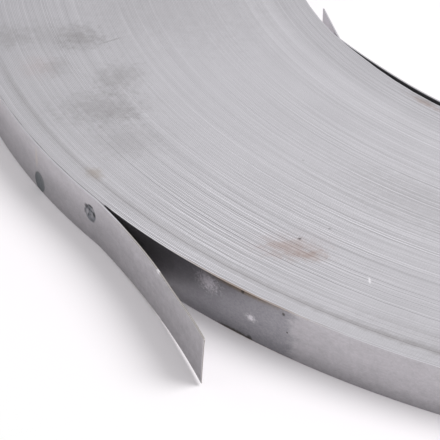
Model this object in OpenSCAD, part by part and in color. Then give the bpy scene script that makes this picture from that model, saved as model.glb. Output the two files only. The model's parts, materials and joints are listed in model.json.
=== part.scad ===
// Coil of narrow steel strip, ribbon wound and lying flat on one end.
// The outer end has sprung off the coil, two spot welds hold the wrap behind it,
// and the slack inner turn stands off the winding and ends in a folded tab.
// The coil's centre is at the origin on the floor, with its axis along +Z.

/* [Strip] */
// Width of the strip, which is the height of the coil
strip_w = 16; // [10:0.5:40]
// Thickness of the strip
strip_t = 0.5; // [0.3:0.05:0.8]

/* [Winding] */
// Diameter of the bore, inside the slack inner turn
bore_d = 300; // [200:1:400]
// Turns in the wound body
turns = 223; // [120:1:300]
// Air between one turn and the next
turn_gap = 0.01; // [0.005:0.005:0.03]

/* [Turns that show on the ends] */
// Turns from one sunk turn to the next
turns_per_line = 9; // [8:1:20]
// How many turns a sunk turn strays from its even place
line_wander = 2; // [0:1:3]
// Depth of a sunk turn below the end of the coil
line_depth = 0.3; // [0.1:0.05:0.8]

/* [Outer end] */
// Direction in which the outer end leaves the coil, in degrees
tail_at = -128; // [-180:0.5:180]
// Kink of the strip where it leaves the coil, in degrees
tail_kink = 6.5; // [2:0.5:8]
// Radius of the outward bend from there to the cut end
tail_bend_r = 365; // [200:5:900]
// Length of the outer end from the coil to the cut
tail_len = 71; // [20:0.5:120]
// Height of the cut end above the floor
tail_lift = 0.9; // [0.3:0.1:3]

/* [Inner end] */
// Air between the slack inner turn and the winding
slack_gap = 1.45; // [0.8:0.05:3]
// Arc over which the slack turn keeps the bore's radius, in degrees
slack_span = 292; // [275:1:300]
// Direction of the fold where the slack turn meets the winding, in degrees
fold_at = -139; // [-180:0.5:180]
// How many times flatter than the bore the strip is on its way to the fold
fold_flatness = 1.85; // [1.4:0.05:3]
// How many times flatter than the bore the strip is where it joins the winding
join_flatness = 1.2; // [1.1:0.05:1.4]
// Angle of the fold, in degrees
fold_angle = 15.5; // [5:0.5:16]
// Length of the straight tab beyond the fold
tab_len = 20.5; // [8:0.5:22]

/* [Spot welds] */
// Diameter of the dimple that a weld leaves
weld_d = 5.8; // [3:0.1:8]
// Depth of the dimple
weld_depth = 0.22; // [0.1:0.02:0.3]
// Distance along the wrap from the outer end's root to the first weld
weld_first = 6.6; // [6.5:0.1:20]
// Distance along the wrap from the first weld to the second
weld_step = 30.8; // [12:0.1:60]
// Height of the first weld
weld_first_z = 9.6; // [5:0.1:10]
// Height of the second weld
weld_second_z = 3.1; // [3:0.1:10]

/* [Hidden] */
$fn = 180;

turn_pitch = strip_t + turn_gap;
bore_r = bore_d / 2;
wound_r = bore_r + strip_t + slack_gap;
outer_r = wound_r + turns * turn_pitch;

// The turned body stops short of the two outer wraps, which are laid round it
wraps = 2;
body_r = outer_r - wraps * turn_pitch;
wrap_inner_r = body_r - wraps * turn_pitch;

// Height by which everything is built past both ends before they are faced flat
facing = 0.2;
// Depth and length over which a loose stretch is bedded in the winding
bed = 0.1;
bed_len = 3;
// Height of the outer end above the floor at its root
tail_foot = 0.05;
// A stretch that carries on from the slack turn starts inside it, a little thinner
nest = 0.02;
nest_len = 1;
// Length by which the tab and the strip run past each other at the fold
fold_lap = 0.1;

slack_r = bore_r + strip_t / 2;
fold_bend_r = slack_r * fold_flatness;
join_bend_r = slack_r * join_flatness;
fold_reach = reach_angle(fold_bend_r, slack_r, wound_r - strip_t / 2 + bed);
join_reach = reach_angle(join_bend_r, slack_r, wound_r + strip_t);
slack_from = fold_at + turned_angle(fold_bend_r, slack_r, fold_reach);
slack_to = slack_from + slack_span;

function polar(r, a) = [r * cos(a), r * sin(a)];
function arc_angle(len, r) = len / r * 180 / PI;

// Angle of a flatter bend, begun on a circle, at the end of which it has reached another radius
function reach_angle(bend_r, from_r, to_r) =
    let (off = bend_r - from_r)
    acos((bend_r * bend_r + off * off - to_r * to_r) / (2 * bend_r * off));
// Angle about the coil's axis that such a bend covers
function turned_angle(bend_r, from_r, angle) =
    atan2(bend_r * sin(angle), bend_r * cos(angle) - (bend_r - from_r));

// A bend starts at a point, with a heading, and turns left (side 1) or right (side -1)
function bend_centre(at, heading, r, side) = at + polar(r, heading + 90 * side);
function bend_end(at, heading, r, angle, side) =
    bend_centre(at, heading, r, side) + polar(r, heading - 90 * side + angle * side);

// Place of the sunk turn numbered i, counted in turns from the bore
function line_turn(i, phase) =
    round((i + phase) * turns_per_line + line_wander * sin((i + phase) * 137));
function line_rs(phase) = [
    for (i = [1 : floor(turns / turns_per_line) - 2])
        wound_r + line_turn(i, phase) * turn_pitch
];
bottom_lines = line_rs(0);
top_lines = line_rs(0.5);

// A stretch of strip on edge, bent to a radius, that begins a lap before its start
module strip_bend(at, heading, r, angle, side, t = strip_t, lap = 0, over = facing) {
    lap_angle = arc_angle(lap, r);
    translate(bend_centre(at, heading, r, side))
        rotate(side > 0 ? heading - 90 - lap_angle : heading + 90 - angle)
            rotate_extrude(angle = angle + lap_angle)
                translate([r - t / 2, -over])
                    square([t, strip_w + 2 * over]);
}

// A straight stretch of strip on edge
module strip_straight(at, heading, len, t = strip_t, lap = 0) {
    translate(at)
        rotate(heading)
            translate([-lap, -t / 2, -facing])
                cube([len + lap, t, strip_w + 2 * facing]);
}

// Section of the wound body, with its sunk turns on both ends, between sloping sides
module body_section() {
    low = -facing;
    high = strip_w + facing;
    slope = strip_t / 4;
    flare = slope * facing / line_depth;
    polygon([
        [wound_r, low],
        for (r = bottom_lines)
            each [[r - flare, low], [r + slope, line_depth],
                  [r + strip_t - slope, line_depth], [r + strip_t + flare, low]],
        [body_r, low],
        [body_r, high],
        for (i = [len(top_lines) - 1 : -1 : 0])
            let (r = top_lines[i])
            each [[r + strip_t + flare, high], [r + strip_t - slope, strip_w - line_depth],
                  [r + slope, strip_w - line_depth], [r - flare, high]],
        [wound_r, high]
    ]);
}

module wound_body() {
    rotate_extrude() body_section();
}

// Half a turn of the outer wraps, from a direction onwards
module half_wrap(from, r) {
    rotate(from)
        rotate_extrude(angle = 180)
            translate([wrap_inner_r, -facing])
                square([r - wrap_inner_r, strip_w + 2 * facing]);
}

// The outer wraps grow by one turn in a round: two half turns about centres half a turn apart
module outer_wraps() {
    half_wrap(tail_at - 180, outer_r);
    translate(-polar(turn_pitch / 2, tail_at))
        half_wrap(tail_at, outer_r - turn_pitch / 2);
}

// The outer end: kinked off the last wrap, bent outwards as far as a square cut, rising off the floor
module tail() {
    root = tail_at - arc_angle(bed_len, outer_r);
    at = polar(outer_r - strip_t / 2 - bed, root);
    len = bed_len + tail_len;
    rise = asin((tail_lift - tail_foot) / len);
    translate([at[0], at[1], tail_foot])
        rotate(root + 90 - tail_kink)
            rotate([0, -rise, 0])
                strip_bend([0, 0], 0, tail_bend_r, arc_angle(len, tail_bend_r), -1, over = 0);
}

// The slack inner turn: joined to the winding at one end, folded into a tab at the other
module slack_turn() {
    thin = strip_t - 2 * nest;
    from = polar(slack_r, slack_from);
    to = polar(slack_r, slack_to);
    strip_bend(from, slack_from + 90, slack_r, slack_span, 1);
    strip_bend(to, slack_to + 90, join_bend_r, join_reach, 1, thin, nest_len);

    lift_heading = slack_from - 90;
    lift_angle = fold_reach + arc_angle(fold_lap, fold_bend_r);
    strip_bend(from, lift_heading, fold_bend_r, lift_angle, -1, thin, nest_len);
    fold = bend_end(from, lift_heading, fold_bend_r, fold_reach, -1);
    strip_straight(fold, lift_heading - fold_reach - fold_angle, tab_len, thin, fold_lap);
}

// The round tip of a welding electrode, pressed into the outer wrap
module weld_dimple(back, z) {
    tip_r = (weld_d * weld_d / 4 + weld_depth * weld_depth) / (2 * weld_depth);
    rotate(tail_at - arc_angle(back, outer_r))
        translate([outer_r - weld_depth + tip_r, 0, z])
            sphere(r = tip_r);
}

module steel_coil() {
    color([0.74, 0.74, 0.75])
        difference() {
            union() {
                intersection() {
                    union() {
                        wound_body();
                        outer_wraps();
                        slack_turn();
                    }
                    cylinder(r = outer_r + bed_len, h = strip_w);
                }
                tail();
            }
            weld_dimple(weld_first, weld_first_z);
            weld_dimple(weld_first + weld_step, weld_second_z);
        }
}

steel_coil();
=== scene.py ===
"""Coil of narrow steel strip, lying flat on its end.

Shapes are worked out in millimetres and degrees about the coil's axis and go into the meshes in
metres. The strip is wound counter-clockwise from the bore outwards. Places along the last turn and
the sprung end count from TAIL_AT, where the strip leaves the coil, and are negative on the coil.
"""

import json
import math

import bpy
import numpy as np
from mathutils import Matrix


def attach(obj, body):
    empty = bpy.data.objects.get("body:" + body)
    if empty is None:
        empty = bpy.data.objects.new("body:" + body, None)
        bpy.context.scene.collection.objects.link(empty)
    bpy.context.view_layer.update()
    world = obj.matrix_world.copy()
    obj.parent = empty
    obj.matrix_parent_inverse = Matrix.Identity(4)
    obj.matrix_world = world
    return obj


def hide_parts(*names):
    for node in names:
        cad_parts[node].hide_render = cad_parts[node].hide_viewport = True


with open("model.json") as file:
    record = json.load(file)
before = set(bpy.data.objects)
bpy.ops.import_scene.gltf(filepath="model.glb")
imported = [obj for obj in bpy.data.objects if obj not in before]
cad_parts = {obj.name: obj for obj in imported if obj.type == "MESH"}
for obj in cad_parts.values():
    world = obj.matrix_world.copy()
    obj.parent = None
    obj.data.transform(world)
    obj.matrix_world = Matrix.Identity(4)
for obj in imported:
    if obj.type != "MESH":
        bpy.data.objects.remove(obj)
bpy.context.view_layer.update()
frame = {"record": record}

MM = 0.001
rng = np.random.default_rng(16)

# Strip: width, thickness, distance from one turn to the next, radius of its edges and steps round one
bore_mount = next(m for m in frame["record"]["mounts"] if m["name"] == "bore")
BORE_R = bore_mount["dims"]["r_mm"]
STRIP_W = bore_mount["dims"]["length_mm"]
STRIP_T = 0.5
PITCH = 0.51
EDGE_R = 0.12
EDGE_STEPS = 3

# Winding: air behind the slack inner turn, and turns up to the outer radius
SLACK_GAP = 1.96
TURNS = 222
OUTER_R = BORE_R + STRIP_T + SLACK_GAP + TURNS * PITCH
# Columns round one turn, and how many of them the winding starts before TAIL_AT
COLUMNS = 108
LEAD = 13

# Outer end: where it leaves the coil, how long before that its bend starts, its kink, bend and length
TAIL_AT = -128.0
TAIL_ROOT = 3.0
TAIL_KINK = 5.6
TAIL_BEND_R = 338.0
TAIL_LEN = 70.6

# Spot welds on the last turn: place and height, radius and depth
WELDS = ((-6.6, 9.5), (-37.4, 3.1))
WELD_R = 2.9
WELD_DEPTH = 0.22

# Inner end: radius of the slack turn, where it starts to join the winding, its fold and its tab
SLACK_R = BORE_R + STRIP_T / 2
SLACK_TO = 165.0
FOLD_AT = -139.5
FOLD_BEND_R = 2.2 * SLACK_R
FOLD_ANGLE = 20.5
TAB_LEN = 19.9
# Added to the slack turn's distance along the strip, which takes it clear of the outer turn's marks
UNMARKED = 500.0


def polar(r, degrees):
    """Points at a radius and a direction about the coil's axis."""
    turned = np.radians(degrees)
    return np.stack([r * np.cos(turned), r * np.sin(turned)], -1)


def smooth_step(x, start=0.0, end=1.0):
    """0 before start, 1 after end, and 3t^2 - 2t^3 between, with t the share of the way."""
    t = np.clip((x - start) / (end - start), 0, 1)
    return t * t * (3 - 2 * t)


def bell(x, middle, reach):
    """1 at the middle, falling off as e to the minus square of the distance in reaches."""
    return np.exp(-((x - middle) / reach) ** 2)


# Meshes

def add_object(name, data):
    """Puts a mesh, lamp or camera into the scene."""
    added = bpy.data.objects.new(name, data)
    bpy.context.scene.collection.objects.link(added)
    return added


def make_piece(name, points, faces, uv, finishes, finish_of, smooth):
    """Puts points in millimetres, faces and their corners' strip coordinates into one mesh piece."""
    mesh = bpy.data.meshes.new(name)
    mesh.from_pydata((points * MM).tolist(), [], faces)
    mesh.uv_layers.new(name="strip").data.foreach_set("uv", np.ravel(uv).astype(np.float32))
    for finish in finishes:
        mesh.materials.append(finish)
    mesh.polygons.foreach_set("material_index", np.asarray(finish_of, np.int32))
    mesh.polygons.foreach_set("use_smooth", np.asarray(smooth, bool))
    mesh.update()
    piece = add_object(name, mesh)
    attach(piece, "root")
    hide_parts("steel_coil")
    return piece


# Turns that lie low on the upper end: knots a turn, degrees of freedom, size and limit of their spread
KNOTS_A_TURN = 3
SINK_TAIL = 3.0
SINK_SPREAD = 0.02
SINK_MOST = 0.16
# Share of it near the bore, and the radii between which it grows to the whole
SINK_INSIDE = 0.35
SINK_GROWS = (190.0, 240.0)
# Share that it loses at the left, and the distances to the left between which it does
SINK_CALMED = 0.6
SINK_CALMS = (130.0, 190.0)
# Radius, direction, half arc and depth of single turns that lie deeper
SUNK_TURNS = (
    (207.2, -135, 25, 0.04),
    (231.8, -128, 40, 0.05),
    (236.3, -121, 12, 0.03),
    (240.0, -113, 16, 0.06),
    (242.8, -116, 16, 0.06),
    (246.9, -118, 18, 0.04),
    (250.0, -117, 16, 0.05),
    (253.4, -126, 14, 0.03),
    (259.4, -116, 40, 0.06),
)


def sunk_stretches(k, theta, r):
    """How far each column of the winding lies below the end of the coil.

    A few knots a turn, with a long-tailed spread, are joined by smooth steps. They grow outwards and are
    calmer at the left. Single stretches that lie deeper are added as bells along the arc, each on the one
    turn nearest its radius.
    """
    knots = k / (COLUMNS / KNOTS_A_TURN)
    spread = np.abs(rng.standard_t(SINK_TAIL, int(knots[-1]) + 2)) * SINK_SPREAD
    spread = np.minimum(spread, SINK_MOST)
    first = knots.astype(int)
    sink = spread[first] + (spread[first + 1] - spread[first]) * smooth_step(knots - first)
    leftwards = -polar(r, theta)[:, 0]
    sink *= SINK_INSIDE + (1 - SINK_INSIDE) * smooth_step(r, *SINK_GROWS)
    sink *= 1 - SINK_CALMED * smooth_step(leftwards, *SINK_CALMS)
    for radius, at, half_arc, depth in SUNK_TURNS:
        past_start = (at - theta[0]) / 360
        turn = np.round((radius - r[0]) / PITCH - past_start)
        sink += depth * bell(k, (turn + past_start) * COLUMNS, half_arc / 360 * COLUMNS)
    return np.minimum(sink, SINK_MOST)


# Borders of a turn's flat edge, as shares of the pitch, and depth of the groove beside it
LAND = (0.14, 0.86)
GROOVE = 0.05
# How far the innermost turn stands inwards, degrees past the fold, half arc, and how many turns do so
LOOSE_IN = 0.65
LOOSE_FROM = 3.5
LOOSE_ARC = 11.0
LOOSE_TURNS = 7


def wound_turns(finishes):
    """The winding as one closed spiral, with a finish for its ends and one for its walls.

    Its radius grows by one pitch a turn. Its upper end has three rows of points a turn, a groove and the
    two borders of the strip's edge, its lower end has the groove alone, and the groove outside one turn is
    the groove inside the next. After the fold the innermost turns lie apart: they stand inwards by a bell
    along the arc, which falls with the square of the turns to go. Strip coordinates are the length along
    the strip in metres, and the share of the pitch on the ends or the height in metres on the walls.
    """
    last = (TURNS - 2) * COLUMNS + LEAD
    turn = slice(0, last + 1)
    k = np.arange(last + COLUMNS + 1)
    theta = TAIL_AT + (k - LEAD) * 360 / COLUMNS
    r = OUTER_R - PITCH * (TURNS + (LEAD - k) / COLUMNS)
    sink = sunk_stretches(k[turn], theta[turn], r[turn])
    past_fold = (theta - FOLD_AT) % 360
    apart = smooth_step(past_fold, 0, LOOSE_FROM) * bell(past_fold, LOOSE_FROM, LOOSE_ARC)
    r -= LOOSE_IN * apart * np.clip(1 - k / COLUMNS / LOOSE_TURNS, 0, None) ** 2
    level = np.zeros(COLUMNS)
    groove = STRIP_W - GROOVE - np.maximum(np.append(sink, level), np.append(level, sink))
    land = STRIP_W - sink

    def ring(radius, direction, height):
        """Points at a radius, a direction and a height."""
        return np.column_stack([polar(radius, direction), np.broadcast_to(height, radius.shape)])

    points = np.concatenate([
        ring(r, theta, groove),
        ring(r[turn] + LAND[0] * PITCH, theta[turn], land),
        ring(r[turn] + LAND[1] * PITCH, theta[turn], land),
        ring(r, theta, 0.0),
    ])
    valley = k
    inner = valley[-1] + 1 + k[turn]
    outer = inner[-1] + 1 + k[turn]
    foot = outer[-1] + 1 + k
    beyond = COLUMNS + k[turn]
    length = np.concatenate([[0], np.cumsum(r[:-1] * math.radians(360 / COLUMNS))]) * MM

    def band(low, high, low_v, high_v):
        """Quads between two rows of points, and their strip coordinates."""
        quads = np.stack([low[:-1], high[:-1], high[1:], low[1:]], -1)
        u = length[:len(low)]
        u = np.stack([u[:-1], u[:-1], u[1:], u[1:]], -1)
        v = np.broadcast_to([low_v, high_v, high_v, low_v], u.shape)
        return quads, np.stack([u, v], -1)

    inner_wall = slice(0, COLUMNS + 1)
    outer_wall = slice(last, last + COLUMNS + 1)
    ends = [
        band(valley[turn], inner, 0.0, LAND[0]),
        band(inner, outer, LAND[0], LAND[1]),
        band(outer, valley[beyond], LAND[1], 1.0),
        band(foot[beyond], foot[turn], 1.0, 0.0),
    ]
    walls = [
        band(foot[inner_wall], valley[inner_wall], 0.0, STRIP_W * MM),
        band(valley[outer_wall], foot[outer_wall], STRIP_W * MM, 0.0),
    ]
    caps = [
        [valley[0], foot[0], foot[COLUMNS], valley[COLUMNS], outer[0], inner[0]],
        [valley[last], inner[-1], outer[-1], valley[-1], foot[-1], foot[last]],
    ]
    quads = np.concatenate([q for q, _ in ends + walls])
    cap_uv = np.full((sum(len(cap) for cap in caps), 2), 0.5)
    uv = np.concatenate([c.reshape(-1, 2) for _, c in ends + walls] + [cap_uv])
    end_count = sum(len(q) for q, _ in ends)
    finish_of = np.repeat([0, 1, 0], [end_count, len(quads) - end_count, len(caps)])
    return make_piece("wound_turns", points, quads.tolist() + caps, uv, finishes, finish_of, finish_of == 1)


# Places of the strip's finishes in a list of them
OUTER_SIDE, STRIP_EDGE, INNER_SIDE = range(3)


def strip_section(rows):
    """Outline of the strip, up its outer face, over, down its inner face and under, with round edges.

    Gives each point's distance outwards and height, and the finish of the side that starts there.
    """
    side = STRIP_T / 2
    top = STRIP_W - EDGE_R
    heights = np.linspace(EDGE_R, top, rows)
    quarter = np.linspace(0, 90, EDGE_STEPS + 1)
    arcs = [
        polar(EDGE_R, quarter) + [side - EDGE_R, top],
        polar(EDGE_R, quarter + 90) + [EDGE_R - side, top],
        polar(EDGE_R, quarter + 180) + [EDGE_R - side, EDGE_R],
        polar(EDGE_R, quarter + 270) + [side - EDGE_R, EDGE_R],
    ]
    sides = [
        np.column_stack([np.full(rows, side), heights])[:-1],
        np.concatenate(arcs[:2])[:-1],
        np.column_stack([np.full(rows, -side), heights[::-1]])[:-1],
        np.concatenate(arcs[2:])[:-1],
    ]
    finish_of = np.repeat([OUTER_SIDE, STRIP_EDGE, INNER_SIDE, STRIP_EDGE], [len(s) for s in sides])
    return np.concatenate(sides), finish_of


def carry_strip(name, path, along, section, finishes, pressed=0.0, raised=0.0, ahead=0.0):
    """Carries the strip's outline along a flat path and closes both ends with the outline.

    A point lies at its path point, plus its distance outwards to the right of the heading, less what
    is pressed in there, plus what it is ahead along the heading, at its height and what it is raised.
    Strip coordinates are the distance along and the height on the strip, in metres.
    """
    outline, side_finish = section
    heading = np.gradient(path, axis=0)
    heading /= np.linalg.norm(heading, axis=1)[:, None]
    right = np.stack([heading[:, 1], -heading[:, 0]], -1)
    out = outline[:, 0] - np.broadcast_to(pressed, (len(path), len(outline)))
    ahead = np.broadcast_to(ahead, out.shape)
    flat = path[:, None] + out[..., None] * right[:, None] + ahead[..., None] * heading[:, None]
    height = np.broadcast_to(outline[:, 1], out.shape)
    points = np.concatenate([flat, (height + raised)[..., None]], -1).reshape(-1, 3)

    index = np.arange(len(points)).reshape(out.shape)
    after = np.roll(index, -1, 1)
    quads = np.stack([index[:-1], index[1:], after[1:], after[:-1]], -1).reshape(-1, 4)
    caps = [index[0].tolist(), index[-1][::-1].tolist()]
    place = np.stack([np.broadcast_to(along[:, None], out.shape), height], -1).reshape(-1, 2) * MM
    uv = place[np.concatenate([quads.ravel(), *caps])]
    finish_of = np.append(np.tile(side_finish, len(path) - 1), [STRIP_EDGE] * len(caps))
    smooth = np.arange(len(finish_of)) < len(quads)
    return make_piece(name, points, quads.tolist() + caps, uv, finishes, finish_of, smooth)


# Points at which a spacing is added up, and points of a path that make one softened point
SPACING_POINTS = 20001
SOFT_POINTS = 9


def stations(start, end, spacing):
    """Places from start to end whose spacing follows a function of the place, found by adding it up."""
    fine = np.linspace(start, end, SPACING_POINTS)
    count = np.concatenate([[0], np.cumsum(np.diff(fine) / spacing(fine[:-1]))])
    return np.interp(np.linspace(0, count[-1], int(count[-1]) + 2), count, fine)


def softened(path, along, reach):
    """A path's points, each the mean of the path over a short reach on both sides of it."""
    return np.mean([path(along + d) for d in np.linspace(-reach, reach, SOFT_POINTS)], axis=0)


# Weld marks: heights of the rim and the ridges; place and width of the rim in weld radii
WELD_RIM = 0.04
WELD_RIDGE = 0.07
RIM_AT = 1.08
RIM_WIDTH = 0.12
# Slope of the two crossed ridges, their half width in mm, and where they end, in weld radii
RIDGE_SLOPE = 0.4
RIDGE_WIDTH = 0.3
RIDGE_ENDS = (0.8, 0.3)


def weld_marks(along, out, height):
    """How far the welds press in the outer face of the strip.

    Each is a round hollow, its depth falling with the square of the distance, inside a low rim that is
    a bell across its circle, and two crossed ridges stand in it, bells across two lines.
    """
    pressed = np.zeros((len(along), len(height)))
    for at, z in WELDS:
        across = along[:, None] - at
        up = height - z
        away = np.hypot(across, up) / WELD_R
        hollow = WELD_DEPTH * np.clip(1 - away ** 2, 0, None)
        rim = WELD_RIM * bell(away, RIM_AT, RIM_WIDTH)
        cross = np.minimum(np.abs(across + RIDGE_SLOPE * up), np.abs(up - RIDGE_SLOPE * across))
        ridge = WELD_RIDGE * bell(cross, 0, RIDGE_WIDTH) * smooth_step(away, *RIDGE_ENDS)
        pressed += hollow - rim - ridge
    return np.where(np.isclose(out, STRIP_T / 2), pressed, 0)


# Spacing of the outer wrap's columns on the coil, on its sprung end and at the welds, in mm
WRAP_STEP = 4.0
TAIL_STEP = 1.0
WELD_STEP = 0.3
# Where the sprung end's spacing starts, and how far a weld's reaches, in weld radii
TAIL_STEP_FROM = -6.0
WELD_STEP_REACH = 1.6
OUTER_ROWS = 48
# The last turn is drawn in by a hair, and eases off the winding towards the sprung end
WRAP_INSET = 0.005
EASE_GAP = 0.15
EASE_LEN = 90.0
# Reach over which the kink is softened
KINK_SOFT = 2.0
# How far the cut end stands off the floor and its foot leans out
TAIL_LIFT = 0.88
TAIL_LEAN = 0.4
# How far the cut slants, the power of the height by which it does, and the height that stays in place
TAIL_SLANT = 1.4
SLANT_POWER = 1.3
SLANT_PIVOT = 0.82
# Length over which the shears thinned the cut end, and by how much
TAIL_SHEAR = 0.8
TAIL_THINNED = 0.25
# How far the sprung end's upper edge is buckled outwards, where, and over what length
TAIL_BUCKLE = 0.4
BUCKLE_AT = 47.0
BUCKLE_LEN = 11.0


def outer_wrap(finishes):
    """The last turn and the sprung end: the spiral up to its root, then a kink and an outward bend.

    Over its last stretch the turn eases off the winding by a smooth step squared. The sprung end rises and
    leans evenly along its length, its cut slants by the cube of that length, its upper edge is buckled by a
    bell along it and the square of the height, and the shears thinned its inner side by a smooth step.
    """
    root = TAIL_AT - math.degrees(TAIL_ROOT / OUTER_R)
    mid_r = OUTER_R - STRIP_T / 2 - WRAP_INSET
    heading = root + 90 - TAIL_KINK
    centre = polar(mid_r + EASE_GAP, root) + polar(TAIL_BEND_R, heading - 90)

    def path(s):
        """Points on the middle of the strip."""
        turned = np.degrees(s / OUTER_R)
        eased = EASE_GAP * smooth_step(s, -TAIL_ROOT - EASE_LEN, -TAIL_ROOT) ** 2
        wrap = polar(mid_r + PITCH * turned / 360 + eased, TAIL_AT + turned)
        bent = np.degrees((s + TAIL_ROOT) / TAIL_BEND_R)
        tail = centre + polar(TAIL_BEND_R, heading + 90 - bent)
        return np.where((s > -TAIL_ROOT)[:, None], tail, wrap)

    def spacing(s):
        """Distance between columns, closer on the sprung end and closest at the welds."""
        step = np.where(s > TAIL_STEP_FROM, TAIL_STEP, WRAP_STEP)
        for at, _ in WELDS:
            step = np.where(np.abs(s - at) < WELD_STEP_REACH * WELD_R, WELD_STEP, step)
        return step

    along = stations(-2 * math.pi * OUTER_R, TAIL_LEN, spacing)
    section = strip_section(OUTER_ROWS)
    out, height = section[0].T
    up = height / STRIP_W
    sprung = np.clip((along + TAIL_ROOT) / (TAIL_LEN + TAIL_ROOT), 0, None)[:, None]
    buckle = TAIL_BUCKLE * bell(along, BUCKLE_AT, BUCKLE_LEN)[:, None] * up ** 2
    lean = TAIL_LEAN * sprung * (1 - up)
    sheared = smooth_step(along, TAIL_LEN - TAIL_SHEAR, TAIL_LEN)[:, None]
    thinned = TAIL_THINNED * sheared * (0.5 - out / STRIP_T)
    pressed = weld_marks(along, out, height) - buckle - lean - thinned
    slant = TAIL_SLANT * sprung ** 3 * (up ** SLANT_POWER - SLANT_PIVOT)
    return carry_strip("outer_wrap", softened(path, along, KINK_SOFT), along, section, finishes,
                       pressed, TAIL_LIFT * sprung, slant)


# Spacing of the slack turn's columns within a reach of the fold, on the rest of its loose end and beyond
FOLD_STEP = 0.2
FOLD_STEP_REACH = 3.0
LOOSE_STEP = 1.5
SLACK_STEP = 4.0
INNER_ROWS = 12
# Reach over which the fold is softened
FOLD_SOFT = 0.5


def inner_turn(finishes):
    """The slack turn: a straight tab, the fold, a flatter bend off the winding, then the bore's own radius.

    From there it steps out to the winding's first turn along a smooth step. The angle of the flatter bend,
    which starts on the bore's radius and reaches the winding, follows from the law of cosines.
    """
    offset = FOLD_BEND_R - SLACK_R
    first_r = OUTER_R - PITCH * (TURNS + LEAD / COLUMNS)
    first_at = TAIL_AT - LEAD * 360 / COLUMNS + 360
    fold_r = first_r - STRIP_T / 2
    lift = math.acos((FOLD_BEND_R ** 2 + offset ** 2 - fold_r ** 2) / (2 * FOLD_BEND_R * offset))
    lift_len = lift * FOLD_BEND_R
    lift_deg = math.degrees(lift)
    slack_from = FOLD_AT + math.degrees(math.asin(FOLD_BEND_R * math.sin(lift) / fold_r))
    lift_centre = polar(-offset, slack_from)
    fold = lift_centre + polar(FOLD_BEND_R, slack_from - lift_deg)
    tab_heading = slack_from + 90 - lift_deg - FOLD_ANGLE
    join_len = math.radians(first_at - slack_from) * SLACK_R

    def path(s):
        """Points on the middle of the strip, by the distance from the end of the flatter bend."""
        tab = fold + (s + lift_len)[:, None] * polar(1.0, tab_heading)
        bend = lift_centre + polar(FOLD_BEND_R, slack_from + np.degrees(s / FOLD_BEND_R))
        turned = slack_from + np.degrees(s / SLACK_R)
        rise = smooth_step(turned, SLACK_TO, first_at)
        turn = polar(SLACK_R + (first_r + PITCH / 2 - SLACK_R) * rise, turned)
        loose = np.where((s > -lift_len)[:, None], bend, tab)
        return np.where((s > 0)[:, None], turn, loose)

    def spacing(s):
        """Distance between columns, closest at the fold."""
        near_fold = np.abs(s + lift_len) < FOLD_STEP_REACH
        return np.where(near_fold, FOLD_STEP, np.where(s < 0, LOOSE_STEP, SLACK_STEP))

    along = stations(-lift_len - TAB_LEN, join_len, spacing)
    return carry_strip("inner_turn", softened(path, along, FOLD_SOFT), along + UNMARKED,
                       strip_section(INNER_ROWS), finishes)


# Shader nodes

# Sockets of a Mix node that mixes colours
MIX_FACTOR, MIX_FIRST, MIX_SECOND = 0, 6, 7
MIX_RESULT = 2


class Sock:
    """A socket of a shader tree. Arithmetic on it adds Math nodes to the same tree."""

    def __init__(self, tree, socket=None):
        self.tree = tree
        self.socket = socket

    def put(self, slot, value):
        """Links a socket to a node's input, or sets a plain value on it."""
        if isinstance(value, Sock):
            self.tree.links.new(value.socket, slot)
        else:
            slot.default_value = value

    def node(self, kind, settings=None, inputs=None, output=0):
        """Adds a node of any kind: its settings first, then the values or links of its inputs."""
        added = self.tree.nodes.new(kind)
        for name, value in (settings or {}).items():
            setattr(added, name, value)
        for name, value in (inputs or {}).items():
            self.put(added.inputs[name], value)
        return Sock(self.tree, added.outputs[output] if added.outputs else None)

    def math(self, operation, *values):
        """A Math node on the values, in their order."""
        return self.node("ShaderNodeMath", {"operation": operation}, dict(enumerate(values)))

    def __add__(self, other):
        return self.math("ADD", self, other)

    def __sub__(self, other):
        return self.math("SUBTRACT", self, other)

    def __rsub__(self, other):
        return self.math("SUBTRACT", other, self)

    def __mul__(self, other):
        return self.math("MULTIPLY", self, other)

    def __truediv__(self, other):
        return self.math("DIVIDE", self, other)

    def __rtruediv__(self, other):
        return self.math("DIVIDE", other, self)

    def __abs__(self):
        return self.math("ABSOLUTE", self)

    __radd__ = __add__
    __rmul__ = __mul__

    def root(self):
        """The square root."""
        return self.math("SQRT", self)

    def least(self, other):
        """The smaller of two values."""
        return self.math("MINIMUM", self, other)

    def most(self, other):
        """The larger of two values."""
        return self.math("MAXIMUM", self, other)

    def ramp(self, low, high):
        """0 at low, 1 at high and a smooth step between; low may be the larger."""
        inputs = {"Value": self, "From Min": low, "From Max": high}
        return self.node("ShaderNodeMapRange", {"interpolation_type": "SMOOTHSTEP"}, inputs)

    def mix(self, first, second):
        """Two colours mixed by this value."""
        inputs = {MIX_FACTOR: self, MIX_FIRST: first, MIX_SECOND: second}
        return self.node("ShaderNodeMix", {"data_type": "RGBA"}, inputs, MIX_RESULT)


def shader_tree(owner):
    """The emptied shader tree of a material or world."""
    owner.use_nodes = True
    owner.node_tree.nodes.clear()
    return Sock(owner.node_tree)


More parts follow.
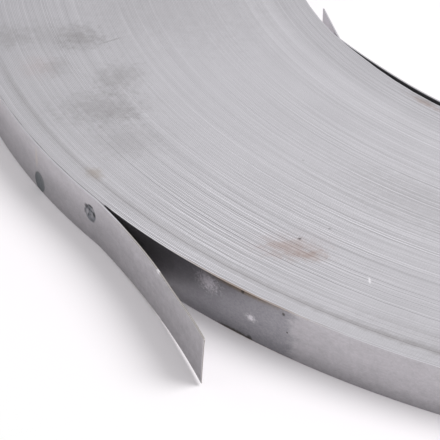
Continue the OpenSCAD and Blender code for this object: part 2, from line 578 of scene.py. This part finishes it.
class Finish:
    """A metal finish under way: its material, and coordinates along the strip and about the coil in mm."""

    def __init__(self, name):
        self.material = bpy.data.materials.new(name)
        self.tree = shader_tree(self.material)
        strip = self.tree.node("ShaderNodeUVMap", {"uv_map": "strip"})
        self.u = self.part(strip, 0) * (1 / MM)
        self.v = self.part(strip, 1)
        place = self.tree.node("ShaderNodeTexCoord", None, None, "Object")
        self.x = self.part(place, 0) * (1 / MM)
        self.y = self.part(place, 1) * (1 / MM)
        self.z = self.part(place, 2) * (1 / MM)
        self.r = (self.x * self.x + self.y * self.y).root()

    def part(self, vector, axis):
        """One number of a vector."""
        return self.tree.node("ShaderNodeSeparateXYZ", None, {0: vector}, axis)

    def noise(self, x, y=0.0, z=0.0, detail=2.0, rough=0.5):
        """Smooth noise from 0 to 1 on up to three numbers."""
        at = self.tree.node("ShaderNodeCombineXYZ", None, {0: x, 1: y, 2: z})
        inputs = {"Vector": at, "Scale": 1.0, "Detail": detail, "Roughness": rough}
        return self.tree.node("ShaderNodeTexNoise", {"noise_dimensions": "3D"}, inputs)

    def spot(self, x, y, half_x, half_y, edge=0.0, full=0.0):
        """1 in an ellipse as far as a part of its size, 0 outside it, with noise moving its border."""
        across = x / half_x
        up = y / half_y
        away = (across * across + up * up).root()
        return (away + edge).ramp(1.0, full)

    def toned(self, colour, tone):
        """A plain colour multiplied by a value that varies."""
        inputs = {MIX_FACTOR: 1.0, MIX_FIRST: colour, MIX_SECOND: tone}
        settings = {"data_type": "RGBA", "blend_type": "MULTIPLY"}
        return self.tree.node("ShaderNodeMix", settings, inputs, MIX_RESULT)

    def done(self, colour, rough, height, height_mm):
        """Joins colour, roughness and relief to a metal shader."""
        bump = {"Strength": 1.0, "Distance": height_mm * MM, "Height": height}
        normal = self.tree.node("ShaderNodeBump", None, bump)
        inputs = {"Base Color": colour, "Roughness": rough, "Metallic": 1.0, "Normal": normal}
        shader = self.tree.node("ShaderNodeBsdfPrincipled", None, inputs)
        self.tree.node("ShaderNodeOutputMaterial", None, {"Surface": shader})
        return self.material


STEEL_TINT = (1.008, 0.982, 1.02)


def grey(level):
    """The steel's own grey, which leans a little to violet."""
    return (*(level * part for part in STEEL_TINT), 1.0)


def wall(degrees):
    """Distance along the strip of a direction on the turn behind the sprung end."""
    return math.radians(degrees - TAIL_AT - 360) * OUTER_R


def at_place(finish, x, y, turn):
    """Distances along and across a direction, from a place on the coil's end."""
    cos = math.cos(math.radians(turn))
    sin = math.sin(math.radians(turn))
    along = (finish.x - x) * cos + (finish.y - y) * sin
    across = (finish.y - y) * cos - (finish.x - x) * sin
    return along, across


# Colours of the coil's ends, of stains on them, and of the sprung end's burr and rust
END_STEEL = (0.58, 0.5684, 0.6003, 1.0)
RUST = (0.34, 0.25, 0.215, 1.0)
PINK = (0.48, 0.37, 0.37, 1.0)
DIRT = (0.215, 0.20, 0.20, 1.0)
OCHRE = (0.32, 0.26, 0.20, 1.0)
SPECK = (0.06, 0.055, 0.05, 1.0)
BURR = (0.26, 0.23, 0.19, 1.0)
RIM_RUST = (0.30, 0.20, 0.12, 1.0)
# Marks on the end: place, direction, half length and half width, strength and colour
END_MARKS = (
    (-197.0, -120.0, 15, 10.0, 11.0, 0.36, DIRT),
    (-207.0, -121.0, 15, 20.0, 13.0, 0.22, DIRT),
    (-221.0, -125.0, 15, 11.0, 11.0, 0.26, DIRT),
    (-205.3, -140.2, 15, 9.0, 10.0, 0.20, PINK),
    (-199.8, -138.7, 15, 7.0, 8.0, 0.24, DIRT),
    (-178.9, -140.5, 0, 12.0, 13.0, 0.34, DIRT),
    (-179.5, -158.6, 15, 21.0, 14.0, 0.34, DIRT),
    (-172.0, -160.7, 15, 9.0, 7.0, 0.18, DIRT),
    (-166.0, -174.5, 15, 17.0, 14.0, 0.22, DIRT),
    (-187.4, -118.7, 46, 6.0, 0.7, 0.50, DIRT),
    (-170.6, -194.2, -41, 5.5, 3.6, 0.42, OCHRE),
    (-105.0, -217.0, 8, 12.0, 7.5, 0.42, RUST),
    (-99.7, -218.6, -10, 7.0, 4.0, 0.46, RUST),
    (-109.5, -215.2, 0, 6.5, 4.5, 0.24, RUST),
    (-107.0, -215.0, 20, 20.0, 10.0, 0.12, PINK),
    (-81.3, -131.2, -32, 10.0, 1.8, 0.50, RUST),
    (-82.0, -129.6, -32, 18.0, 1.6, 0.3, DIRT),
    (-172.0, -92.0, 0, 45.0, 40.0, 0.15, DIRT),
    (-72.0, -186.0, -21, 42.0, 17.0, 0.15, DIRT),
    (-45.0, -251.0, -10, 52.0, 11.0, 0.17, DIRT),
    (-104.5, -211.3, 0, 0.75, 0.6, 0.85, SPECK),
    (-97.1, -204.5, 0, 0.6, 0.5, 0.45, SPECK),
    (-112.0, -171.8, 0, 0.6, 0.5, 0.40, SPECK),
)
# Place and direction of a bright tick on the end, its half sizes and its strength
TICK_AT = (-81.4, -226.0, -74)
TICK_SIZE = (2.4, 0.55)
TICK_STRENGTH = 0.65
# Radius, half width and strength of the dirty rings near the rim
DIRTY_RINGS = ((259.4, 2.1, 0.47), (253.4, 0.8, 0.15))
# Radius, half width and change of tone of paler and darker rings
RING_TONES = (
    (160.6, 1.5, -0.03),
    (165.8, 2.6, 0.05),
    (171.2, 1.6, 0.04),
    (214.8, 1.6, 0.03),
    (229.0, 1.2, 0.03),
    (232.0, 1.3, -0.04),
    (242.6, 1.2, -0.03),
    (262.4, 1.6, -0.02),
)
# Place, direction and half sizes of two stretches where the turns lie a little apart, and how much
OPEN_TURNS = ((-110.0, -209.0, 13.0, 95.0, 40.0, 1.0), (-92.0, -162.0, 20.0, 85.0, 55.0, 0.4))
# Ranges of radius or place over which the end's looks change: outwards, far left and next to the bore
OUTWARDS = (195.0, 245.0)
FAR_LEFT = (-130.0, -240.0)
NEAR_BORE = (172.0, 154.0)
# The same for the part away from the sprung end, by x and by y, and for the right part of the dirty rings
BEYOND_X = (-30.0, 60.0)
BEYOND_Y = (-75.0, 0.0)
RINGS_RIGHT = (-150.0, -70.0)
# Distance from the middle of a turn's edge, as a share of the pitch, over which painted shade darkens its
# groove
GROOVE_SHADE = (0.34, 0.5)
# Heights over which the lower end's plain look gives way to the upper end's marks
UPPER_END = (STRIP_W * 0.4, STRIP_W * 0.6)
# Radii over which the sprung end's burr sets in
BURR_FROM = (OUTER_R + 0.3, OUTER_R + 4.0)
# Direction and half length of the rust on the edge of the turn behind the sprung end
RIM_RUST_AT = -115.5
RIM_RUST_LEN = 36.0
# Distance along the sprung end of a pale tuft on its upper edge, and its half length there
TUFT_AT = 36.6
TUFT_LEN = 1.2
# Relief of the ends in mm
END_RELIEF = 0.01


def end_marks(f, colour, edge):
    """Dirty rings, stains and a bright tick on the upper end of the winding, laid over its colour."""
    upper_end = f.z.ramp(*UPPER_END)
    patches = f.noise(f.x * 0.03, f.y * 0.03, 5.0)
    patchy = (0.2 + patches * 0.7 + f.x.ramp(*RINGS_RIGHT) * 0.4) * upper_end
    for radius, half_width, strength in DIRTY_RINGS:
        ring = f.spot(f.r - radius, 0.0, half_width, 1.0, edge * 0.5)
        colour = (ring * strength * patchy).mix(colour, DIRT)
    for x, y, turn, half_along, half_across, strength, mark in END_MARKS:
        along, across = at_place(f, x, y, turn)
        patch = f.spot(along, across, half_along, half_across, edge)
        colour = (patch * upper_end * strength).mix(colour, mark)
    tick = f.spot(*at_place(f, *TICK_AT), *TICK_SIZE)
    return (tick * upper_end * TICK_STRENGTH).mix(colour, grey(0.95))


def rim_stains(f, colour, edge):
    """Burr and a pale tuft on the edges of the sprung end and rust behind it, laid over their colour."""
    burr = f.noise(f.u * 0.9, 2.0, detail=4.0, rough=0.7)
    colour = (f.r.ramp(*BURR_FROM) * (0.35 + burr * 0.6)).mix(colour, BURR)
    rusty = f.spot(f.u - wall(RIM_RUST_AT), 0.0, RIM_RUST_LEN, 1.0, edge * 0.6)
    colour = (rusty * 0.6).mix(colour, RIM_RUST)
    tuft = f.spot(f.u - TUFT_AT, 0.0, TUFT_LEN, 1.0, 0.0, 0.3)
    return (tuft * 0.55).mix(colour, grey(0.95))


def coil_ends(name, wound):
    """The slit edges of the turns: bright satin metal, each turn a little different, dark between turns.

    The tone is a sum of noise: a slow value along the strip, its difference from the next turn's, streaks,
    bands of turns and smudges. Its lines are stronger outwards and where turns lie apart, and calmer at the
    far left, where painted shade also darkens it. The dark between turns is painted shade in the grooves.
    Factors on coordinates are waves per millimetre, and the other factors are shares of the tone.
    """
    f = Finish(name)
    outwards = f.r.ramp(*OUTWARDS)
    far_left = f.x.ramp(*FAR_LEFT)
    open_turns = 0.0
    for x, y, turn, half_along, half_across, share in OPEN_TURNS:
        open_turns = f.spot(*at_place(f, x, y, turn), half_along, half_across) * share + open_turns

    def turn_noise(u):
        """A slow value along the strip, which gives each turn its own tone."""
        return f.noise(u * 0.004, 3.0, detail=3.0, rough=0.7)

    turn_tone = turn_noise(f.u)
    next_tone = turn_noise(f.u + f.r * (2 * math.pi))
    streak = f.noise(f.u * 0.05, f.r * 2.0, detail=3.0, rough=0.6)
    band = f.noise(f.r * 0.35, f.x * 0.004, f.y * 0.004, detail=3.0, rough=0.65)
    smudge = f.noise(f.x * 0.05, f.y * 0.05, detail=4.0, rough=0.6)
    groups = f.noise(f.r * 0.16, 7.0, detail=5.0, rough=0.75)
    edge = f.noise(f.x * 0.35, f.y * 0.35, detail=5.0, rough=0.7) * 1.8 - 0.9

    lined = (0.22 + outwards * 0.22) * (1 - far_left * 0.5) + open_turns * 0.12
    ruled = 0.15 + open_turns * 1.2
    tone = (turn_tone - 0.5) * lined + (turn_tone - next_tone) * ruled
    tone = tone + streak * 0.10 + band * 0.09 + smudge * 0.12 + 0.825
    # Painted shade: the far left of the end is darker, where less light falls on it
    tone = tone + open_turns * 0.08 - far_left * 0.14 - f.r.ramp(*NEAR_BORE) * 0.09
    # Away from the sprung end, whole groups of turns differ in tone
    elsewhere = f.x.ramp(*BEYOND_X).most(f.y.ramp(*BEYOND_Y))
    tone = tone + (groups - 0.5) * elsewhere * 0.75
    for radius, half_width, strength in RING_TONES:
        tone = tone + f.spot(f.r - radius, 0.0, half_width, 1.0) * strength
    colour = f.toned(END_STEEL, tone)

    if wound:
        opening = f.noise(f.u * 0.006, 9.0, detail=3.0)
        depth = 0.1 + opening * 0.5 + outwards * 0.18 * (1 - far_left) + open_turns * 0.5
        # Painted shade in the grooves between turns, stronger outwards and where turns lie apart, less at
        # the far left
        colour = (abs(f.v - 0.5).ramp(*GROOVE_SHADE) * depth).mix(colour, grey(0.10))
        colour = end_marks(f, colour, edge)
    else:
        colour = rim_stains(f, colour, edge)
    return f.done(colour, 0.36 + streak * 0.14, streak, END_RELIEF)


# Tone of the rolled face, and its relief in mm
WALL_TONE = 0.45
WALL_RELIEF = 0.012
# Heights over which the face turns paler upwards, a painted reflection of brighter floor further out,
# and darker at its foot, and where it is palest, by x
PALER = (5.0, 16.0)
DARKER = (5.0, 0.0)
PALE_LEFT = (-120.0, -180.0)
# Distances along the sprung end over which its own look sets in
SPRUNG_FROM = (0.0, 30.0)
# Directions over which the stretch that the sprung end covered starts and ends, how far wear moves its
# end, in mm, and its colour, a patina darkened further by painted shade from the sprung end in front
COVERED_FROM = (-124.0, -118.0)
COVERED_TO = (-110.4, -111.4)
COVERED_WANDER = 10.0
COVERED_PATINA_AND_SHADE = (0.11, 0.12, 0.145, 1.0)
# Frosted patches: direction, height, half sizes and strength
FROST = (
    (-118.4, 12.8, 6.0, 4.4, 0.85),
    (-118.3, 12.2, 2.8, 2.6, 0.9),
    (-114.95, 7.75, 2.6, 1.7, 0.5),
    (-114.95, 7.75, 1.2, 1.2, 0.8),
)
# Rust under the upper edge: direction, height, half sizes, heights over which it sets in, and colour
WALL_RUST_AT = (-115.8, 16.0)
WALL_RUST_SIZE = (20.0, 9.0)
WALL_RUST_FROM = (14.2, 15.7)
WALL_RUST = (0.24, 0.17, 0.09, 1.0)
# Dark specks: direction, height and half size
WALL_SPECKS = ((-112.55, 14.3, 0.7), (-112.25, 8.6, 0.4), (-115.6, 15.4, 0.8), (-115.05, 0.4, 1.3))
# Dirt at the foot: direction, half sizes, directions between which it ends, and colour
FOOT_AT = -116.2
FOOT_SIZE = (8.5, 1.3)
FOOT_TO = (-114.75, -114.85)
FOOT_DIRT = (0.05, 0.042, 0.03, 1.0)
# Half sizes of the tuft on the face of the sprung end; place and half size of the painted light on the
# folded tab
TUFT_SIZE = (2.0, 1.6)
TAB_LIGHT_AT = (-120.0, -91.0)
TAB_LIGHT_REACH = 18.0
# Radius and colour of each weld's blued metal, and where its border and dark ring set in from that radius
WELD_BLUES = ((WELD_R, (0.16, 0.175, 0.195, 1.0)), (WELD_R + 0.5, (0.13, 0.15, 0.16, 1.0)))
DISC_BORDER = (0.2, -0.5)
DARK_RING = (-0.9, -0.2)
# Marks of the nearer weld: along, up, half sizes, strength and tone
WELD_SPOTS = (
    (-1.7, -0.3, 0.9, 1.6, 0.70, 0.40),
    (0.5, -0.6, 1.3, 1.4, 0.60, 0.36),
    (1.2, 1.7, 1.2, 0.9, 0.70, 0.42),
    (-2.1, 1.6, 1.3, 1.2, 0.75, 0.05),
    (0.3, 2.6, 1.7, 0.6, 0.95, 0.012),
    (-2.9, -0.4, 0.5, 1.5, 0.55, 0.06),
    (-0.7, 1.0, 0.6, 0.7, 0.85, 0.02),
    (-1.2, -1.1, 0.5, 0.8, 0.75, 0.03),
    (0.5, 0.8, 0.9, 0.4, 0.70, 0.04),
    (1.8, 0.3, 0.9, 1.2, 0.98, 0.006),
    (0.9, -2.2, 1.7, 0.7, 0.45, 0.08),
    (-0.1, -0.6, 0.5, 0.5, 0.60, 0.05),
)
# A pale drip above the further weld: place from it, half sizes and colour
DRIP_AT = (-1.6, 8.0)
DRIP_SIZE = (1.3, 5.5)
DRIP = (0.62, 0.57, 0.50, 1.0)
# Distances along the slack turn over which painted shade sets in on its outer face, in the gap between it
# and the winding, and its colour
GAP_SHADE_FROM = (UNMARKED - 32.0, UNMARKED - 24.0)
GAP_SHADE_COLOUR = (0.012, 0.02, 0.022, 1.0)


def weld_stains(f, colour, height, torn):
    """Blued discs inside dark rings, scars in the nearer weld and a drip over the further one."""
    for (at, z), (radius, blue) in zip(WELDS, WELD_BLUES):
        away = f.u - at
        up = height - z
        past_radius = (away * away + up * up).root() + torn * 0.12 - radius
        disc = past_radius.ramp(*DISC_BORDER)
        colour = (disc * 0.9).mix(colour, blue)
        ring = past_radius.ramp(*DARK_RING) * disc
        colour = (ring * 0.25).mix(colour, grey(0.05))
    at, z = WELDS[0]
    for along, up, half_u, half_v, strength, level in WELD_SPOTS:
        scar = f.spot(f.u - (at + along), height - (z + up), half_u, half_v, torn * 0.22, 0.3)
        colour = (scar * strength).mix(colour, grey(level))
    at, z = WELDS[1]
    drip = f.spot(f.u - (at + DRIP_AT[0]), height - (z + DRIP_AT[1]), *DRIP_SIZE, torn * 0.3)
    return (drip * 0.6).mix(colour, DRIP)


def rolled_face(name, gap_shade=0.0):
    """The rolled face of the strip: satin grey with fine lines along it, and its marks by place.

    The tone is a sum of noise: lines along the strip, clouds, wear and grain. Factors on coordinates are
    waves per millimetre, those on torn say how far a mark's border is torn, and the others are shares of
    the tone or strengths of a mark. Among the marks are a painted reflection that pales the face upwards,
    painted shade by the sprung end over patina, and painted light on the folded tab. The last argument is
    the strength of the painted shade on the slack turn's outer face, in the gap between it and the winding.
    """
    f = Finish(name)
    height = f.v * (1 / MM)
    lines = f.noise(f.u * 0.02, height * 4.0, detail=3.0, rough=0.6)
    cloud = f.noise(f.u * 0.08, height * 0.15, detail=3.0)
    worn = f.noise(f.u * 0.30, height * 0.45, 4.0, detail=4.0, rough=0.65)
    grain = f.noise(f.u * 1.0, height * 1.5, detail=4.0, rough=0.85)
    torn = f.noise(f.u * 1.1, height * 1.1, detail=6.0, rough=0.8) * 3.6 - 1.8

    # Painted reflection: the face is paler upwards, most at the left, as if mirroring brighter floor further
    # out
    painted_reflection = height.ramp(*PALER) * (0.06 + f.x.ramp(*PALE_LEFT) * 0.18)
    sprung = f.u.ramp(*SPRUNG_FROM) * (worn * 0.3 - 0.09)
    tone = 0.34 + lines * 0.18 + cloud * 0.16 + worn * 0.36 + grain * 0.56
    tone = tone + painted_reflection - height.ramp(*DARKER) * 0.15 + sprung
    colour = f.toned(grey(WALL_TONE), tone)

    # The stretch that the sprung end covered is darker and bluish: partly patina, partly painted shade
    # from the sprung end in front of it
    covered_to = (f.u + worn * COVERED_WANDER).ramp(*map(wall, COVERED_TO))
    patina_and_shade = covered_to * f.u.ramp(*map(wall, COVERED_FROM))
    colour = (patina_and_shade * (0.55 - grain * 0.4)).mix(colour, COVERED_PATINA_AND_SHADE)

    # Torn, frosted patches left behind on it, rust under its upper edge, specks, and dirt at its foot
    def on_wall(degrees, z, half_u, half_v, edge, full=0.0):
        """A spot at a direction and a height on the turn behind the sprung end."""
        return f.spot(f.u - wall(degrees), height - z, half_u, half_v, edge, full)

    for degrees, z, half_u, half_v, strength in FROST:
        colour = (on_wall(degrees, z, half_u, half_v, torn) * strength).mix(colour, grey(0.85))
    rust = height.ramp(*WALL_RUST_FROM) * on_wall(*WALL_RUST_AT, *WALL_RUST_SIZE, torn * 0.5)
    colour = (rust * 0.75).mix(colour, WALL_RUST)
    for degrees, z, half in WALL_SPECKS:
        colour = (on_wall(degrees, z, half, half, torn * 0.2, 0.4) * 0.8).mix(colour, SPECK)
    foot = on_wall(FOOT_AT, 0.0, *FOOT_SIZE, torn * 0.25, 0.5) * f.u.ramp(*map(wall, FOOT_TO))
    colour = (foot * 0.75).mix(colour, FOOT_DIRT)

    # A pale tuft on the sprung end, and painted light that makes the folded tab paler
    tuft = f.spot(f.u - TUFT_AT, height - STRIP_W, *TUFT_SIZE, torn * 0.6, 0.2)
    colour = (tuft * 0.85).mix(colour, grey(0.95))
    tab = f.spot(f.x - TAB_LIGHT_AT[0], f.y - TAB_LIGHT_AT[1], TAB_LIGHT_REACH, TAB_LIGHT_REACH, 0.0, 0.6)
    colour = (tab * 0.5).mix(colour, grey(0.9))

    colour = weld_stains(f, colour, height, torn)
    # Painted shade on the slack turn's outer face, in the gap between it and the winding
    if gap_shade:
        colour = (f.u.ramp(*GAP_SHADE_FROM) * gap_shade).mix(colour, GAP_SHADE_COLOUR)
    rough = 0.24 + lines * 0.12 + grain * 0.08
    return f.done(colour, rough, lines + grain * 0.5, WALL_RELIEF)


# Stage

WHITE = (1.0, 1.0, 1.0, 1.0)
FLOOR_COLOUR = (0.945, 0.915, 0.94, 1.0)
# Half size of the floor in metres, and how far under the coil it lies
FLOOR_HALF = 20.0
FLOOR_DROP = 0.05
# Distances from the coil between which the floor turns white
WHITE_FROM = 20.0
WHITE_TO = 76.0


def seen(tree):
    """1 for what the camera sees, itself or mirrored in the metal, and 0 for light that falls on things."""
    camera, glossy, through = [
        tree.node("ShaderNodeLightPath", None, None, ray)
        for ray in ("Is Camera Ray", "Is Glossy Ray", "Is Transmission Ray")
    ]
    return (camera + glossy + through).least(1.0)


def plain_floor():
    """A wide pale floor just under the coil, which turns white away from it where it is seen."""
    corners = np.array([[-1, -1], [1, -1], [1, 1], [-1, 1]]) * FLOOR_HALF
    points = np.column_stack([corners, np.full(len(corners), -FLOOR_DROP * MM)])
    mesh = bpy.data.meshes.new("floor")
    mesh.from_pydata(points.tolist(), [], [[0, 1, 2, 3]])
    material = bpy.data.materials.new("pale_floor")
    tree = shader_tree(material)
    paint = tree.node("ShaderNodeBsdfDiffuse", None, {"Color": FLOOR_COLOUR})
    white = tree.node("ShaderNodeEmission", None, {"Color": WHITE, "Strength": 1.0})
    place = tree.node("ShaderNodeTexCoord", None, None, "Object")
    away = tree.node("ShaderNodeVectorMath", {"operation": "LENGTH"}, {0: place}, "Value") * (1 / MM)
    outside = away.ramp(OUTER_R + WHITE_FROM, OUTER_R + WHITE_TO)
    inside = away.ramp(BORE_R - WHITE_FROM, BORE_R - WHITE_TO)
    shader = tree.node("ShaderNodeMixShader", None, {0: seen(tree) * (outside + inside), 1: paint, 2: white})
    tree.node("ShaderNodeOutputMaterial", None, {"Surface": shader})
    mesh.materials.append(material)
    floor = add_object("floor", mesh)


# Strength of the surround, and place, size and power of the lamp, in metres and watts
SURROUND = 0.66
LAMP_AT = (1.13, -0.04, 1.45)
LAMP_SIZE = 1.3
LAMP_WATTS = 25.0


def studio_light():
    """An even surround, white where it is seen, and one large soft lamp at the right."""
    world = bpy.data.worlds.new("studio")
    bpy.context.scene.world = world
    tree = shader_tree(world)
    light = tree.node("ShaderNodeBackground", None, {"Color": WHITE, "Strength": SURROUND})
    white = tree.node("ShaderNodeBackground", None, {"Color": WHITE, "Strength": 1.0})
    surface = tree.node("ShaderNodeMixShader", None, {0: seen(tree), 1: light, 2: white})
    tree.node("ShaderNodeOutputWorld", None, {"Surface": surface})

    lamp = bpy.data.lights.new("softbox", "AREA")
    lamp.shape = "DISK"
    lamp.size = LAMP_SIZE
    lamp.energy = LAMP_WATTS
    direction = -np.array(LAMP_AT) / np.linalg.norm(LAMP_AT)
    side = np.cross(direction, [0, 0, 1.0])
    side /= np.linalg.norm(side)
    up = np.cross(side, direction)
    softbox = add_object("softbox", lamp)
    softbox.location = LAMP_AT
    softbox.rotation_euler = Matrix(np.column_stack([side, up, -direction]).tolist()).to_euler()
    softbox.visible_camera = False


# The photo's width and focal length in pixels, and the camera's tilt, pan and roll, and place in metres
IMAGE_PX = 440
FOCAL_PX = 2240.458
CAMERA_TURN = (35.2971, -13.6949, 0.4013)
CAMERA_AT = (-0.003680, -0.721370, 0.390004)
SENSOR_MM = 36.0


def photo_camera():
    """The viewing point above the coil's near edge, fitted to its outlines."""
    tilt, pan, roll = np.radians(CAMERA_TURN)
    ahead = np.array([np.sin(pan) * np.cos(tilt), np.cos(pan) * np.cos(tilt), -np.sin(tilt)])
    right = np.array([np.cos(pan), -np.sin(pan), 0.0])
    up = np.cross(right, ahead)
    turned_right = np.cos(roll) * right + np.sin(roll) * up
    turned_up = np.cos(roll) * up - np.sin(roll) * right
    turn = Matrix(np.column_stack([turned_right, turned_up, -ahead]).tolist())
    data = bpy.data.cameras.new("photo_camera")
    data.sensor_width = SENSOR_MM
    data.lens = SENSOR_MM * FOCAL_PX / IMAGE_PX
    camera = add_object("photo_camera", data)
    camera.matrix_world = Matrix.Translation(CAMERA_AT) @ turn.to_4x4()
    bpy.context.scene.camera = camera


face_finish = rolled_face("rolled_face")
rim_finish = coil_ends("slit_rim", wound=False)
wound_turns([coil_ends("coil_ends", wound=True), face_finish])
outer_wrap([face_finish, rim_finish, face_finish])
# The slack turn's outer face takes painted shade from the gap behind it
inner_turn([rolled_face("gap_shaded_face", gap_shade=0.65), rim_finish, face_finish])
plain_floor()
studio_light()
photo_camera()
bpy.context.scene.view_settings.view_transform = "Standard"
